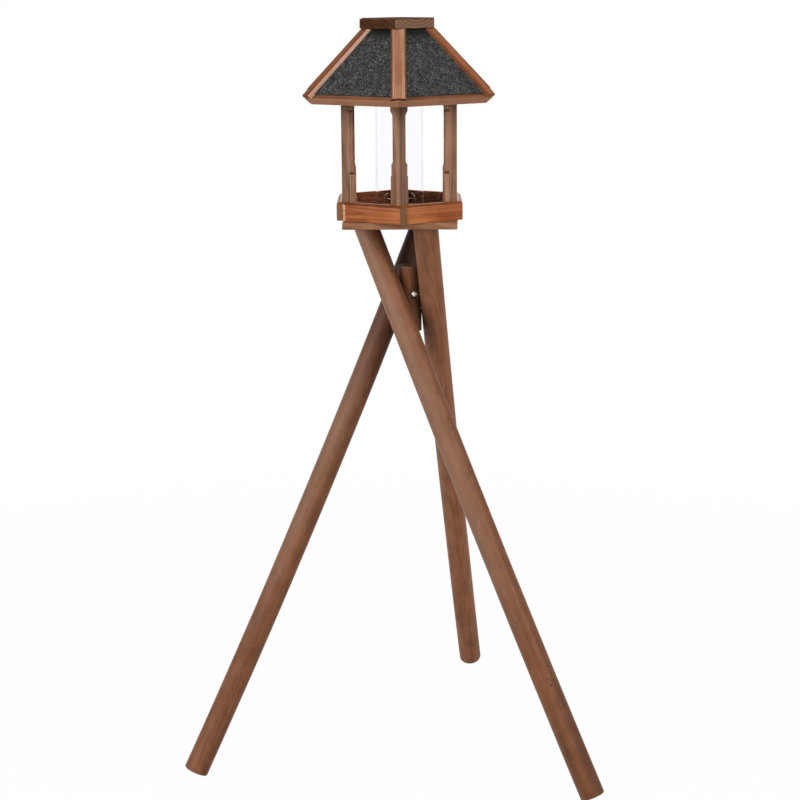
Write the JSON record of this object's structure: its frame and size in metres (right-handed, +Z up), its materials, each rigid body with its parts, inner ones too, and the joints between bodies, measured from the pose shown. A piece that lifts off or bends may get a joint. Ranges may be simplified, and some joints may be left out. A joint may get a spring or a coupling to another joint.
{
  "type": "bird feeder",
  "caption": "Free-standing hexagonal wooden bird feeder: a felt-roofed open house round a clear seed tube, on a twisted stand of crossing round poles.",
  "frame": {"origin": "on the floor, under the middle of the whole feeder's footprint", "axes": "+Z up; -Y towards the front corner of the house, between the front leg and the left leg; +X to the right seen from the front"},
  "size_m": [0.7032, 0.6714, 1.261],
  "materials": {
    "stained_pine": "brown-stained planed pine, satin",
    "stained_poles": "brown-stained round pine poles, satin",
    "mineral_felt": "charcoal bitumen felt with mineral granules, matt",
    "clear_plastic": "clear acrylic, glossy",
    "bright_steel": "zinc-plated bolts with domed heads"
  },
  "bodies": {
    "root": {"lid": "stained_pine", "rafter_1": "stained_pine", "rafter_2": "stained_pine", "rafter_3": "stained_pine", "rafter_4": "stained_pine", "rafter_5": "stained_pine", "rafter_6": "stained_pine", "felt_1": "mineral_felt", "felt_2": "mineral_felt", "felt_3": "mineral_felt", "felt_4": "mineral_felt", "felt_5": "mineral_felt", "felt_6": "mineral_felt", "roof_board_1": "stained_pine", "roof_board_2": "stained_pine", "roof_board_3": "stained_pine", "roof_board_4": "stained_pine", "roof_board_5": "stained_pine", "roof_board_6": "stained_pine", "post_1": "stained_pine", "post_2": "stained_pine", "post_3": "stained_pine", "post_4": "stained_pine", "post_5": "stained_pine", "post_6": "stained_pine", "tray_board_1": "stained_pine", "tray_board_2": "stained_pine", "tray_board_3": "stained_pine", "tray_board_4": "stained_pine", "tray_board_5": "stained_pine", "tray_board_6": "stained_pine", "tray_floor": "stained_pine", "seed_tube": "clear_plastic", "base_plate": "stained_pine", "leg_front": "stained_poles", "leg_left": "stained_poles", "leg_back": "stained_poles", "hub": "stained_poles", "hub_bolt_front": "bright_steel", "hub_bolt_left": "bright_steel", "hub_bolt_back": "bright_steel"}
  },
  "joints": []
}
